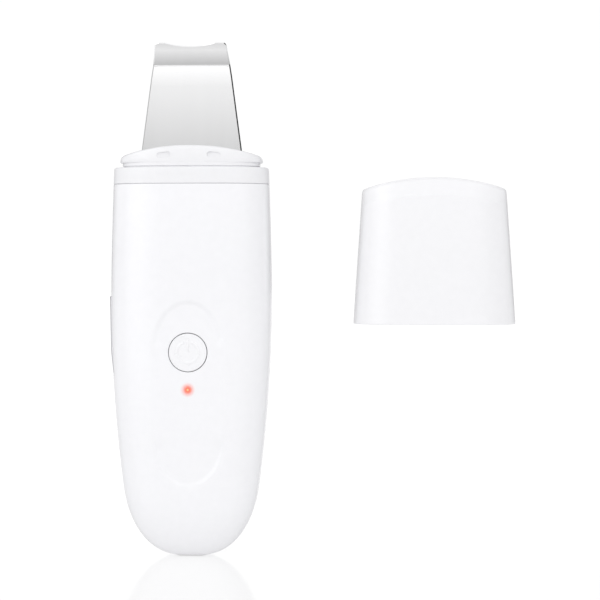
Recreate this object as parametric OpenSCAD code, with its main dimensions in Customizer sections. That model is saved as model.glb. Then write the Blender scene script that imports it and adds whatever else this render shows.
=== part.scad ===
// Ultrasonic skin scrubber: a rechargeable handle, a bent steel blade driven by a piezo disc,
// and a pull-off blade cap, shown set aside to the right of the handle.
// Millimetres. +Z runs up the handle to the blade, the button side faces -Y, and the origin
// lies on the handle's axis at the height of the power button.

/* [Handle] */
// Largest width of the handle
grip_w = 51.8; // [50.8:0.2:53]
// Largest depth of the handle, front to back
grip_d = 22; // [21.8:0.2:23]
// Distance from the button's centre down to the rounded end
end_drop = 66; // [66:0.5:69]
// Height of the widest section above the button's centre
wide_z = 17.5; // [16:0.5:22]
// Height of the seam between the shells and the collar
seam_z = 53.5; // [53.5:0.5:55]
// Wall thickness of the shells
wall = 1.8; // [1.6:0.1:2]
// Distance from the handle's axis to the flat land on its back
back_y = 10; // [9.9:0.1:10.2]

/* [Thumb dish] */
// Width of the shallow oval dish around the button
dish_w = 23.2; // [20:0.1:24]
// Height of the dish
dish_h = 59.8; // [56:0.2:62]
// Depth of the dish
dish_depth = 0.45; // [0.2:0.05:0.6]
// Height of the dish's centre
dish_z = -13.1; // [-14:0.1:-12]

/* [Button and light] */
// Diameter of the power button
button_d = 12; // [11.5:0.1:13]
// Gap around the button
button_gap = 0.25; // [0.2:0.05:0.4]
// Travel of the button
button_travel = 0.4; // [0.2:0.05:0.5]
// Height of the status light
led_z = -11.8; // [-13:0.1:-11]
// Diameter of the status light
led_d = 2.2; // [1.8:0.1:2.6]

/* [Neck] */
// Height of the collar
collar_h = 5.3; // [5:0.1:5.6]
// Width of the dome over its lip
dome_w = 46; // [45:0.1:46.4]
// Depth of the dome over its lip
dome_d = 16.8; // [16.4:0.1:17]
// Height of the dome's crown above the collar
dome_rise = 7; // [6.6:0.1:7.4]
// Height of the notches under the dome's lip, where the cap snaps in at both sides
groove_h = 1.5; // [1.2:0.1:1.6]

/* [Blade] */
// Thickness of the blade
blade_t = 1.2; // [1:0.1:1.4]
// Width of the blade at its tip
tip_w = 23.4; // [20:0.2:25]
// Width of the blade where it leaves the dome
root_w = 32.2; // [30:0.2:33]
// Height of the crease above the button's centre
crease_z = 92.1; // [90:0.1:94]
// Height of the tip above the crease
tip_rise = 6.9; // [5:0.1:7.4]
// Angle by which the tip leans forward
tip_lean = 30; // [20:1:35]
// Depth of the hollow in the tip's edge
tip_dip = 1.1; // [0.5:0.1:2]

/* [Cap] */
// Width of the cap at its mouth
cap_w = 51.8; // [51.6:0.1:53]
// Width of the cap at its crown
cap_top_w = 46; // [45:0.1:47]
// Depth of the cap at its mouth
cap_d = 21.4; // [21.2:0.1:22]
// Depth of the cap below its bevel
cap_top_d = 18.4; // [18:0.1:19]
// Height of the cap at the middle of its crown
cap_h = 46.6; // [46:0.1:48]
// Wall thickness of the cap
cap_wall = 1.5; // [1.3:0.1:1.6]
// Sideways distance from the handle's axis to the cap set aside
cap_x = 78; // [70:0.1:90]
// Height of the mouth of the cap set aside
cap_z = 8.8; // [0:0.1:20]

/* [Hidden] */

round_fn = 64;           // true circles
squareness = 2.8;        // exponent of the oval sections: 2 is an ellipse
side_r = 460;            // radius of the handle's long side arcs
front_r = 900;           // radius of its front and back arcs below the button
upper_r = 1450;          // and above the button
side_draw = 0.97;        // how far each side has drawn in at the collar's top
end_h = 24;              // height of the rounded end, seen from the front
end_side_h = 20;         // and seen from the side
front_columns = 24;      // facets of a section, from its middle to its side
dish_edge = 1.3;         // width of the dish's sloping rim
dish_end_h = 16;         // height of the dish's round ends
collar_top = seam_z + collar_h;
neck_w = half_w(collar_top);
neck_d = depth(collar_top);

board_y = -3.6;          // front face of the circuit board
board_t = 1.6;
board_back = board_y + board_t;
board_w = 28;
board_top = 28;
board_end = -62.5;
post_x = 11;             // posts that carry the board
post_z = [-36, 13.5];

clamp_x = 18.5;          // screws of the blade's mounting
clamp_z = 42;
boss_y = 7.55;           // where their bosses run into the shell
pad_z = [31.4, 52];      // centres of the pads that grip the blade
pad_h = 2.4;
pad_t = 1;
disc_r = 8;
disc_t = 2;
blade_foot = 29.5;
blade_foot_w = 30;
collar_screw = [19.5, 4.5];
screw_seat = collar_top - 1.4;

flange_y = -8.95;        // front face of the button's flange
flange_r = button_d/2 + 1.35;
flange_t = 1.25;
switch_h = 3.3;
switch_floor = 1;        // bottom of the bore that the plunger moves in
plunger_r = 1.75;
button_face = -(grip_d/2 - dish_depth) - 0.1;

contact_z = [-7.8, 17.5];
contact_w = 9;
contact_proud = 0.5;
taper_z = -0.5;          // below it the touch plate tapers until its foot is flush
contact_sunk = 0.9;
side_bow_r = 13;         // how round the handle's side is across the plate
stud_z = 5;

battery_size = [28, 5, 42];
battery_z = -30;
battery_y = 2.3;
usb_size = [8.94, 3.26, 7.35];
usb_z = -65.5;

crown_r = 76;            // arc of the dome's crown, seen from the front
cap_crown_r = 72;        // arc of the cap's crown
cap_bevel_h = 5.6;
cap_bevel = 2.6;

// Outline of the handle: half its width and half its depth at a height
function end_round(z, h, p, q) =
    let (u = max(0, 1 - (z + end_drop)/h)) pow(max(0, 1 - pow(min(u, 1), p)), 1/q);
function side_drop(z) = z > wide_z
    ? side_draw*pow((z - wide_z)/(seam_z + collar_h - wide_z), 1.5)
    : pow(wide_z - z, 2)/(2*side_r);
function half_w(z) = (grip_w/2 - side_drop(z))*end_round(z, end_h, 2.5, 2.75);
function depth(z) = (grip_d/2 - z*z/(2*(z > 0 ? upper_r : front_r)))
    * end_round(z, end_side_h, 2.4, 2.4);
function inner_w(z) = max(0.6, min(half_w(z) - wall, half_w(z - wall)));
function inner_d(z) = max(0.5, min(depth(z) - wall, depth(z - wall)));

// A section's points: across lists places from -1 to 1, closer together towards the sides
function across(m) = [for (i = [-m:m]) sin(90*i/m)];
function bow(x) = pow(max(0, 1 - pow(abs(x), squareness)), 1/squareness);
function half_section(w, d, m) = [for (x = across(m)) [w*x, -d*bow(x)]];
function section(w, d, m) = concat(half_section(w, d, m),
    [for (i = [m - 1:-1:1 - m]) let (x = sin(90*i/m)) [w*x, d*bow(x)]]);
function raise(points, z) = [for (p = points) [p[0], p[1], z]];

// The thumb dish: full depth along its middle, a clear rim at its round ends, fading at its sides
function smooth(t) = let (s = min(1, max(0, t))) s*s*(3 - 2*s);
function dish(x, z) = let (
        beyond = max(0, abs(z - dish_z) - (dish_h/2 - dish_end_h))/dish_end_h,
        side = abs(x)/(dish_w/2),
        rim = smooth((1 - norm([side, beyond]))*dish_w/2/dish_edge),
        side_fade = 1 - side*side*(1 - smooth(beyond/0.25)))
    dish_depth*rim*side_fade;
function dished(points, z) = [for (p = points) [p[0], p[1] + dish(p[0], z), z]];

// Heights of the sections
function end_rows(n) = concat([0.02 - end_drop],
    [for (k = [1:n]) end_h*(1 - cos(90*k/n)) - end_drop]);
function even_rows(low, high, n) = [for (k = [1:n]) low + (high - low)*k/n];
body_rows = concat(end_rows(10), even_rows(end_h - end_drop, seam_z, 14));
dish_rows = concat(end_rows(12), even_rows(end_h - end_drop, 18, 34), even_rows(18, seam_z, 5));
hollow_rows = concat([wall + 0.02 - end_drop, wall + 0.5 - end_drop, wall + 1.5 - end_drop],
    even_rows(wall + 1.5 - end_drop, -40, 6), even_rows(-40, seam_z, 8), [seam_z + 2]);

// A solid through sections that all have the same number of points
module loft(rings) {
    n = len(rings[0]);
    last = len(rings) - 1;
    polyhedron(
        points = [for (r = rings) each r],
        faces = concat(
            [[for (j = [0:n - 1]) j]],
            [for (k = [0:last - 1], j = [0:n - 1])
                let (a = k*n + j, b = k*n + (j + 1)%n) [a, a + n, b + n, b]],
            [[for (j = [n - 1:-1:0]) last*n + j]]));
}

// The same, with a last section that is arched across: its top closes in strips, front to back
module arched_loft(rings) {
    n = len(rings[0]);
    last = len(rings) - 1;
    top = last*n;
    half = n/2;
    polyhedron(
        points = [for (r = rings) each r],
        faces = concat(
            [[for (j = [0:n - 1]) j]],
            [for (k = [0:last - 1], j = [0:n - 1])
                let (a = k*n + j, b = k*n + (j + 1)%n) [a, a + n, b + n, b]],
            [[top, top + n - 1, top + 1]],
            [for (i = [1:half - 2]) [top + i, top + n - i, top + n - i - 1, top + i + 1]],
            [[top + half - 1, top + half + 1, top + half]]));
}

// A rod along Y from y0 to y1, and one with a bore
module rod_y(x, z, y0, y1, r) {
    translate([x, max(y0, y1), z]) rotate([90, 0, 0])
        cylinder(r = r, h = abs(y1 - y0), $fn = round_fn);
}
module tube_y(x, z, y0, y1, r, bore) {
    difference() {
        rod_y(x, z, y0, y1, r);
        rod_y(x, z, y0 - 1, y1 + 1, bore);
    }
}

// A plate in the XZ plane with round corners
module plate_y(w, h, y0, y1, r) {
    translate([0, y1, 0]) rotate([90, 0, 0]) linear_extrude(y1 - y0)
        difference() {
            square([w, h], center = true);
            for (sx = [-1, 1], sz = [-1, 1]) translate([sx*(w/2 - r), sz*(h/2 - r)])
                difference() {
                    translate([sx > 0 ? 0 : -r - 1, sz > 0 ? 0 : -r - 1]) square(r + 1);
                    circle(r, $fn = round_fn);
                }
        }
}

// A self-tapping screw along Y, its head at head_y and its tip at tip_y
module screw_y(x, z, head_y, tip_y, r, head_r, head_h) {
    dir = tip_y > head_y ? 1 : -1;
    difference() {
        union() {
            rod_y(x, z, head_y, tip_y, r);
            rod_y(x, z, head_y, head_y + dir*head_h, head_r);
        }
        for (a = [0, 90]) translate([x, head_y, z]) rotate([0, a, 0])
            cube([head_r*1.2, head_h, 0.35], center = true);
    }
}

// A wire through a few points, eight-sided
function wire_dir(points, i) =
    let (d = points[min(i + 1, len(points) - 1)] - points[max(i - 1, 0)]) d/norm(d);
module wire(points, r) {
    side = [1, 0, 0];
    loft([for (i = [0:len(points) - 1])
        let (up = cross(wire_dir(points, i), side), v = up/norm(up))
        [for (a = [0:45:315]) points[i] + r*(cos(a)*side + sin(a)*v)]]);
}

// Left side of the handle as a leaning cylinder that passes two points, each a height and a
// distance from the axis: the touch plate's faces and its socket in both shells come from it
module side_round(low, high) {
    run = high[0] - low[0];
    translate([-low[1], 0, low[0]]) rotate([0, -atan((high[1] - low[1])/run), 0])
        translate([side_bow_r, 0, -10]) cylinder(r = side_bow_r, h = 50, $fn = 128);
}
module side_sunk(depth) {
    side_round([contact_z[0], half_w(contact_z[0]) - depth],
        [contact_z[1], half_w(contact_z[1]) - depth]);
}
module side_block(grow) {
    translate([-33, -contact_w/2 - grow, contact_z[0] - grow])
        cube([10, contact_w + 2*grow, contact_z[1] - contact_z[0] + 2*grow]);
}
module side_socket() {
    difference() {
        side_block(0.08);
        side_sunk(contact_sunk + 0.08);
    }
}

module port_cut() {
    translate([0, board_back + usb_size[1]/2, -end_drop])
        cube([usb_size[0] + 0.4, usb_size[1] + 0.4, 8], center = true);
}
module shared_cuts() {
    side_socket();
    translate([-half_w(stud_z) - 1, 0, stud_z]) rotate([0, 90, 0])
        cylinder(r = 1.35, h = 6, $fn = round_fn);
    port_cut();
}

module front_shell() {
    color([0.96, 0.96, 0.98]) difference() {
        union() {
            difference() {
                loft([for (z = dish_rows) dished(half_section(half_w(z), depth(z),
                    front_columns), z)]);
                loft([for (z = hollow_rows) raise(concat([[-inner_w(z), 1]],
                    half_section(inner_w(z), inner_d(z), 10), [[inner_w(z), 1]]), z)]);
            }
            rod_y(0, 0, -9.5, -7, flange_r + 1.4);
            rod_y(0, led_z, -9.5, -8.2, led_d/2 + 1.6);
            for (x = [-post_x, post_x], z = post_z) rod_y(x, z, -9.3, board_y, 2.2);
            for (x = [-clamp_x, clamp_x]) rod_y(x, clamp_z, -boss_y, -3.2, 2.4);
            translate([collar_screw[0], -collar_screw[1], seam_z - 7])
                cylinder(r = 2.2, h = 7, $fn = round_fn);
        }
        rod_y(0, 0, -12, -6, button_d/2 + button_gap);
        rod_y(0, 0, -9.2, -6, flange_r + 0.1);
        rod_y(0, led_z, -12, -6, led_d/2 + 0.05);
        for (x = [-post_x, post_x], z = post_z) rod_y(x, z, -8.2, board_y + 1, 0.9);
        for (x = [-clamp_x, clamp_x]) rod_y(x, clamp_z, -6.6, -2, 0.9);
        translate([collar_screw[0], -collar_screw[1], seam_z - 6])
            cylinder(r = 0.9, h = 8, $fn = round_fn);
        shared_cuts();
    }
}

module back_shell() {
    color([0.95, 0.95, 0.97]) difference() {
        union() {
            difference() {
                mirror([0, 1, 0]) loft([for (z = body_rows)
                    raise(half_section(half_w(z), depth(z), 18), z)]);
                translate([-40, back_y, -80]) cube([80, 10, 160]);
                intersection() {
                    mirror([0, 1, 0]) loft([for (z = hollow_rows)
                        raise(concat([[-inner_w(z), 1]], half_section(inner_w(z), inner_d(z), 10),
                            [[inner_w(z), 1]]), z)]);
                    translate([-40, -5, -80]) cube([80, 5 + back_y - wall, 160]);
                }
            }
            translate([-collar_screw[0], collar_screw[1], seam_z - 7])
                cylinder(r = 2.2, h = 7, $fn = round_fn);
            for (z = [battery_z - 2.5, battery_z + battery_size[2] + 1])
                translate([-12, 5.5, z]) cube([24, 3.2, 1.5]);
        }
        translate([-collar_screw[0], collar_screw[1], seam_z - 6])
            cylinder(r = 0.9, h = 8, $fn = round_fn);
        shared_cuts();
    }
}

// Ring between the shells and the dome: it holds the two shells together at the top
module neck_collar() {
    steps = [[0, 0], [collar_h - 0.8, 0], [collar_h - 0.4, 0.12], [collar_h - 0.12, 0.4],
        [collar_h, 0.8]];
    color([0.95, 0.95, 0.96]) difference() {
        union() {
            loft([for (s = steps) let (z = seam_z + s[0])
                raise(section(half_w(z) - s[1], depth(z) - s[1], 16), z)]);
            translate([0, 0, collar_top - 1]) linear_extrude(2.6)
                polygon(section(20.4, 6.2, 12));
        }
        translate([0, 0, seam_z - 1]) linear_extrude(3.2)
            polygon(section(neck_w - 2.4, neck_d - 2.2, 12));
        translate([0, 0, seam_z - 1]) linear_extrude(collar_h + 5)
            polygon(section(18.6, 4.6, 12));
        for (s = [-1, 1]) translate([s*collar_screw[0], -s*collar_screw[1], 0]) {
            translate([0, 0, seam_z]) cylinder(r = 1.05, h = 8, $fn = round_fn);
            translate([0, 0, screw_seat]) cylinder(r = 2.1, h = 8, $fn = round_fn);
        }
    }
}

// Crowned cover that the blade comes out of; the cap snaps under its lip at both sides
module neck_dome() {
    crown = collar_top + dome_rise;
    color([0.96, 0.96, 0.98]) difference() {
        intersection() {
            union() {
                translate([0, 0, collar_top]) linear_extrude(groove_h + 0.5)
                    polygon(section(dome_w/2 - 0.8, dome_d/2 - 0.06, 16));
                translate([0, 0, collar_top + groove_h]) linear_extrude(dome_rise)
                    polygon(section(dome_w/2, dome_d/2, 16));
            }
            translate([0, 20, crown - crown_r]) rotate([90, 0, 0])
                cylinder(r = crown_r, h = 40, $fn = 128);
        }
        translate([0, 0, collar_top - 1]) linear_extrude(2.8)
            polygon(section(20.5, 6.3, 12));
        translate([0, 0, collar_top]) linear_extrude(dome_rise - 2.4)
            polygon(section(18, 4.6, 12));
        translate([0, 0, crown - 2]) cube([root_w + 3.6, 3.4, 10], center = true);
        for (sx = [-1, 1], sy = [-1, 1]) translate([sx*8, sy*(dome_d/2), crown - 3.2])
            rotate([0, sx*6, 0]) cube([4.4, 0.9, 1.8], center = true);
    }
}

module collar_screws() {
    color("silver") for (s = [-1, 1])
        translate([s*collar_screw[0], -s*collar_screw[1], 0]) difference() {
            union() {
                translate([0, 0, seam_z - 5.4])
                    cylinder(r = 0.9, h = screw_seat - seam_z + 5.6, $fn = round_fn);
                translate([0, 0, screw_seat]) cylinder(r = 1.9, h = 1.2, $fn = round_fn);
            }
            for (a = [0, 90]) rotate([0, 0, a]) translate([0, 0, screw_seat + 1.2])
                cube([2.2, 0.35, 1], center = true);
        }
}

// Blade: its outline from the front, cut from a strip bent at the crease
function blade_half(z) = let (slope = (root_w - tip_w)/2/(crease_z + tip_rise - neck_top()))
    tip_w/2 + slope*(crease_z + tip_rise - z);
function neck_top() = collar_top + dome_rise;
module blade_outline() {
    tip_z = crease_z + tip_rise;
    corner = 1.6;
    shoulder = collar_top + 0.8;
    dip_r = (64 + tip_dip*tip_dip)/(2*tip_dip);
    arc = [for (a = [0:9:81]) [blade_half(tip_z - corner) - corner*(1 - cos(a)),
        tip_z - corner + corner*sin(a)]];
    right = concat([[blade_foot_w/2 - 3, blade_foot], [blade_foot_w/2, blade_foot + 3],
        [blade_foot_w/2, shoulder - 2], [blade_half(shoulder), shoulder]], arc,
        [[blade_half(tip_z - corner) - corner, tip_z]]);
    difference() {
        polygon(concat(right, [for (i = [len(right) - 1:-1:0]) [-right[i][0], right[i][1]]]));
        translate([0, tip_z - tip_dip + dip_r]) circle(dip_r, $fn = 128);
    }
}
module blade_solid() {
    t = blade_t/2;
    run = (tip_rise + 1)*tan(tip_lean);
    thin = 0.3;
    bend = t*tan(tip_lean/2);
    intersection() {
        translate([0, 20, 0]) rotate([90, 0, 0]) linear_extrude(40) blade_outline();
        translate([-25, 0, 0]) rotate([90, 0, 90]) linear_extrude(50) polygon([
            [-t, blade_foot - 1], [t, blade_foot - 1], [t, crease_z + bend],
            [thin - run, crease_z + tip_rise + 1], [-thin - run, crease_z + tip_rise + 1],
            [-t, crease_z - bend]]);
    }
}
module blade() { color([0.8, 0.8, 0.82]) blade_solid(); }

module blade_gasket() {
    color([0.85, 0.85, 0.87]) difference() {
        translate([0, 0, neck_top() - 2.2 - 1]) intersection() {
            cube([root_w + 3.4, 3.2, 4], center = true);
            translate([0, 20, 3.2 - crown_r]) rotate([90, 0, 0])
                cylinder(r = crown_r - 0.6, h = 40, $fn = 128);
        }
        blade_solid();
    }
}

module piezo_disc() {
    color("khaki") union() {
        rod_y(0, clamp_z, blade_t/2, blade_t/2 + disc_t, disc_r);
        for (x = [-3, 3]) rod_y(x, clamp_z, blade_t/2 + disc_t, blade_t/2 + disc_t + 0.4, 0.9);
    }
}

// Front and rear halves of the blade's mounting: ribs reach in to the pads above and below the disc
module mount_half(plate_low, plate_high, rib_y) {
    low = pad_z[0] - pad_h/2;
    high = pad_z[1] + pad_h/2;
    difference() {
        union() {
            translate([0, 0, (low + high)/2])
                plate_y(31, high - low, plate_low, plate_high, 1.5);
            for (z = pad_z) translate([-14.5, min(rib_y, plate_low), z - pad_h/2])
                cube([29, abs(rib_y - (rib_y < plate_low ? plate_low : plate_high))
                    + (rib_y < plate_low ? 0 : plate_high - plate_low), pad_h]);
            translate([0, 0, clamp_z]) plate_y(2*clamp_x + 5, 6, plate_low, plate_high, 2.4);
        }
        for (x = [-clamp_x, clamp_x]) rod_y(x, clamp_z, plate_low - 1, plate_high + 1, 1.2);
        translate([0, 0, clamp_z]) plate_y(12, 9, plate_low - 1, plate_high + 1, 2);
    }
}
module blade_carrier() {
    color([0.3, 0.3, 0.33]) mount_half(-3.2, -1.9, -blade_t/2 - pad_t);
}
module blade_clamp() {
    color([0.3, 0.3, 0.33]) mount_half(3.4, 4.6, blade_t/2 + pad_t);
}
module blade_pads() {
    color([0.75, 0.75, 0.78]) for (z = pad_z, s = [-1, 1])
        translate([0, s*(blade_t/2 + pad_t/2), z]) cube([29, pad_t, pad_h], center = true);
}
module clamp_screws() {
    color("silver") for (x = [-clamp_x, clamp_x]) {
        screw_y(x, clamp_z, 5.6, -6.2, 0.9, 1.7, 1);
        tube_y(x, clamp_z, -1.9, 3.4, 1.8, 1);
    }
}
module piezo_leads() {
    y = blade_t/2 + disc_t + 0.4;
    color("firebrick") for (x = [-3, 3])
        wire([[x, board_back, board_top - 0.7], [x, board_back + 1, board_top - 0.7],
            [x, 1.2, board_top - 0.4], [x, 5.8, board_top + 0.8], [x, 5.8, 36],
            [x, 5.2, clamp_z - 1.2], [x, y + 1.2, clamp_z], [x, y, clamp_z]], 0.45);
}

module main_board() {
    end_r = board_w/2;
    color("darkgreen") difference() {
        translate([0, board_back, 0]) rotate([90, 0, 0]) linear_extrude(board_t) union() {
            translate([-end_r, board_end + end_r])
                square([board_w, board_top - board_end - end_r]);
            translate([0, board_end + end_r]) circle(end_r, $fn = round_fn);
        }
        for (x = [-post_x, post_x], z = post_z) rod_y(x, z, -5, 0, 1.1);
    }
}
module board_screws() {
    color("silver") for (x = [-post_x, post_x], z = post_z)
        screw_y(x, z, board_back + 1.2, -7.8, 0.85, 1.9, 1.2);
}

module tact_switch() {
    color([0.2, 0.2, 0.2]) difference() {
        union() {
            translate([-3, board_y - switch_h, -3]) cube([6, switch_h, 6]);
            for (sx = [-1, 1], sz = [-1, 1]) translate([sx*3.8, board_y - 0.15, sz*2.2])
                cube([1.8, 0.3, 0.7], center = true);
        }
        rod_y(0, 0, board_y - switch_h - 1, board_y - switch_floor, plunger_r + 0.1);
    }
}
module switch_plunger() {
    color([0.12, 0.12, 0.12])
        rod_y(0, 0, flange_y + flange_t, board_y - switch_floor - button_travel - 0.2,
            plunger_r);
}

// Button: face, guide flange behind the wall and a raised power symbol
module power_button() {
    color([0.97, 0.97, 0.98]) union() {
        rod_y(0, 0, button_face, flange_y + 0.5, button_d/2);
        rod_y(0, 0, flange_y, flange_y + flange_t, flange_r);
        difference() {
            rod_y(0, 0, button_face - 0.15, button_face + 0.3, 3.7);
            rod_y(0, 0, button_face - 1, button_face + 1, 3.05);
            translate([-1.5, button_face - 1, 1.2]) cube([3, 2, 4]);
        }
        translate([-0.35, button_face - 0.15, 0.2]) cube([0.7, 0.4, 3.7]);
    }
}
module button_ring() {
    color([0.35, 0.35, 0.37])
        tube_y(0, 0, -10, -9.3, button_d/2 + button_gap, button_d/2 + 0.1);
}

module status_led() {
    color("lightyellow") translate([0, board_y - 0.5, led_z]) cube([2, 1, 1.25], center = true);
}
module led_lens() {
    color("red") union() {
        rod_y(0, led_z, -(depth(led_z) - dish_depth), board_y - 1.3, led_d/2);
        rod_y(0, led_z, -8.2, -7.4, led_d/2 + 0.8);
    }
}

// Metal touch plate on the side, with the stud that its leaf spring presses on
module side_contact() {
    color([0.78, 0.78, 0.8]) union() {
        difference() {
            intersection() {
                side_block(0);
                side_round([taper_z, half_w(taper_z) + contact_proud],
                    [contact_z[1], half_w(contact_z[1]) + contact_proud]);
                side_round([contact_z[0], half_w(contact_z[0])],
                    [taper_z, half_w(taper_z) + contact_proud]);
            }
            side_sunk(contact_sunk);
        }
        translate([-half_w(stud_z) + 0.4, 0, stud_z]) rotate([0, 90, 0])
            cylinder(r = 1.25, h = 3.2, $fn = round_fn);
    }
}
module contact_leaf() {
    tip = half_w(stud_z) - 3.6;
    color("goldenrod") translate([0, 0, stud_z - 1.5]) {
        translate([-12.5, board_back, 0]) cube([3.5, 0.3, 3]);
        translate([-12.5, board_back, 0]) cube([0.3, 4, 3]);
        translate([-tip, board_back + 3.7, 0]) cube([tip - 12.2, 0.3, 3]);
        translate([-tip, -1.2, 0]) cube([0.3, board_back + 5.2, 3]);
    }
}

module battery() {
    color([0.7, 0.72, 0.75]) translate([-battery_size[0]/2, battery_y, battery_z]) {
        cube([battery_size[0], battery_size[1], battery_size[2] - 3]);
        translate([1, 0.8, 0]) cube([battery_size[0] - 2, battery_size[1] - 1.6, battery_size[2]]);
    }
}
module battery_pad() {
    y = battery_y + battery_size[1];
    color([0.25, 0.25, 0.25]) translate([-10, y, battery_z + 4])
        cube([20, back_y - wall - y, battery_size[2] - 10]);
}
module battery_leads() {
    top = battery_z + battery_size[2];
    color("firebrick") for (x = [-6.7, -4.2])
        wire([[x, battery_y + 2.5, top], [x, battery_y + 2.5, top + 1.6], [x, 1.4, top + 3.6],
            [x, 0.2, top + 4.4], [x, 0.2, top + 5.2]], 0.45);
}
module battery_plug() {
    top = battery_z + battery_size[2] + 5.2;
    color("ivory") union() {
        translate([-8.7, board_back, top]) cube([6.5, 3.4, 4.6]);
        translate([-8.1, board_back + 3.4, top + 1]) cube([5.3, 0.6, 2.6]);
    }
}

module usb_socket() {
    color("silver") translate([-usb_size[0]/2, board_back, usb_z]) difference() {
        cube(usb_size);
        translate([0.3, 0.35, -1]) cube([usb_size[0] - 0.6, usb_size[1] - 0.7, usb_size[2]]);
    }
}
module usb_tongue() {
    color([0.15, 0.15, 0.15])
        translate([0, board_back + usb_size[1]/2, usb_z + 1.2]) union() {
            translate([-3.35, -0.35, 0]) cube([6.7, 0.7, usb_size[2] - 2.2]);
            translate([-4.1, -1.2, usb_size[2] - 3.4]) cube([8.2, 2.4, 1.2]);
        }
}

module transformer_core() {
    color([0.22, 0.22, 0.24]) translate([2, board_back, 17]) difference() {
        cube([11, 8.4, 9.5]);
        for (x = [1.6, 6.6]) translate([x, -1, 1.6]) cube([2.8, 11, 6.3]);
    }
}
module transformer_winding() {
    color([0.72, 0.45, 0.2]) translate([2, board_back + 0.9, 17]) difference() {
        translate([1.8, 0, 1.8]) cube([7.4, 6.6, 5.9]);
        translate([4.3, -1, 1.5]) cube([2.4, 9, 6.5]);
    }
}
module power_inductor() {
    color([0.25, 0.25, 0.27]) union() {
        translate([-3.5, board_back, -52]) cube([7, 3, 7]);
        rod_y(0, -48.5, board_back + 3, board_back + 3.3, 2.6);
    }
}
module capacitors() {
    color([0.75, 0.6, 0.45]) for (p = [[-9, -20], [-9, -24], [8, -20], [8, -26], [0, -40]])
        translate([p[0], board_back + 0.8, p[1]]) cube([2, 1.6, 1.2], center = true);
}
module control_chips() {
    color([0.1, 0.1, 0.1]) for (c = [[0, -16, 5, 6], [-6, -33, 4, 5], [5, -33, 3, 3], [4, 6, 5, 4]])
        translate([c[0], board_back + 0.8, c[1]]) cube([c[2], 1.6, c[3]], center = true);
}

// Cap: straight tapering sides, an arched crown and a bevel along the crown's front and back
function cap_crown(x) = cap_h - (cap_crown_r - sqrt(cap_crown_r*cap_crown_r - x*x));
function cap_ring(t, inset, drop) = let (
        h = t*cap_h,
        w = (cap_w + (cap_top_w - cap_w)*t)/2 - inset,
        bevel = cap_bevel*max(0, h - (cap_h - cap_bevel_h))/cap_bevel_h,
        d = (cap_d + (cap_top_d - cap_d)*t)/2 - bevel - inset)
    [for (p = section(w, d, 14)) [p[0] + cap_x, p[1], cap_z + t*cap_crown(p[0]) - drop]];
module cap() {
    top = cap_h - cap_bevel_h;
    outer = concat([0, 0.3, 0.6], [for (k = [0:5]) (top + cap_bevel_h*k/5)/cap_h]);
    color([0.97, 0.97, 0.985]) union() {
        difference() {
            arched_loft([for (t = outer) cap_ring(t, t > 0.99 ? 0.5 : 0, 0)]);
            arched_loft([for (t = concat([-0.05], outer))
                cap_ring(t, cap_wall, cap_wall*max(0, t))]);
        }
        for (s = [-1, 1]) translate([cap_x + s*(cap_w/2 - cap_wall - 0.7), 0, cap_z + 0.9])
            cube([2, 6, 0.8], center = true);
    }
}

front_shell();
back_shell();
neck_collar();
neck_dome();
collar_screws();
blade();
blade_gasket();
piezo_disc();
blade_carrier();
blade_clamp();
blade_pads();
clamp_screws();
piezo_leads();
main_board();
board_screws();
tact_switch();
switch_plunger();
power_button();
button_ring();
status_led();
led_lens();
side_contact();
contact_leaf();
battery();
battery_pad();
battery_leads();
battery_plug();
usb_socket();
usb_tongue();
transformer_core();
transformer_winding();
power_inductor();
capacitors();
control_chips();
cap();
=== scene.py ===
import math

import bmesh
import bpy
import numpy as np
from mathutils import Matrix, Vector


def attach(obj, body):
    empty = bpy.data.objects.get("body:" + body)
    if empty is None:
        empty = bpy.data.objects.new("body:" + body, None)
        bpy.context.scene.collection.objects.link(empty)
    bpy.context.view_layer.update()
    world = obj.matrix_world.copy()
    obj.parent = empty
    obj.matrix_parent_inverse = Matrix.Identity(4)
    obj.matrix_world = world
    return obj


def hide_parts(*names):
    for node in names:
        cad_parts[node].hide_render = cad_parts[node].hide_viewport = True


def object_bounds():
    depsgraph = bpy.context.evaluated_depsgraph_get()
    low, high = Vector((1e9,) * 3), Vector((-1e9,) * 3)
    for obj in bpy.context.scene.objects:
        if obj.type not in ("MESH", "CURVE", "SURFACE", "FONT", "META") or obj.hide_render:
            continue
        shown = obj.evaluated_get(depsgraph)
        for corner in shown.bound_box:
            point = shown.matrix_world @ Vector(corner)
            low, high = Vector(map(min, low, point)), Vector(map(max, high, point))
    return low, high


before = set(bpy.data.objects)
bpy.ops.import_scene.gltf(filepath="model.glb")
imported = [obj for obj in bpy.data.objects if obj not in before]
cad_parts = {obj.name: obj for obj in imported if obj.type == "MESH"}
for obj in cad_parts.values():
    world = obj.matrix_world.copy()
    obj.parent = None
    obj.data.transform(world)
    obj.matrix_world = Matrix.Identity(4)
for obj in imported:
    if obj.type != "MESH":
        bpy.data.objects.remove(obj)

CAD_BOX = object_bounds()
MM = 0.001

# ---------------------------------------------------------------- sizes, as the CAD has them
# handle
GRIP_W, GRIP_D = 51.8, 22.0              # full width and depth
END = 66.0                               # the lower end is this far below z = 0
WIDE_Z, SEAM = 17.5, 53.5                # the widest place and the top of the shells
WALL, BACK_Y = 1.8, 10.0                 # BACK_Y is the flat land on the back
SQUARE = 2.8                             # exponent of the squarish oval section
SIDE_R, SIDE_DRAW = 460.0, 0.97          # side arc below WIDE_Z, and how far a side draws in above
FRONT_R, UPPER_R = 900.0, 1450.0         # arcs of the depth below and above z = 0
END_H, END_SIDE_H = 24.0, 20.0           # heights of the end's rounding, front and side view
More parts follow.
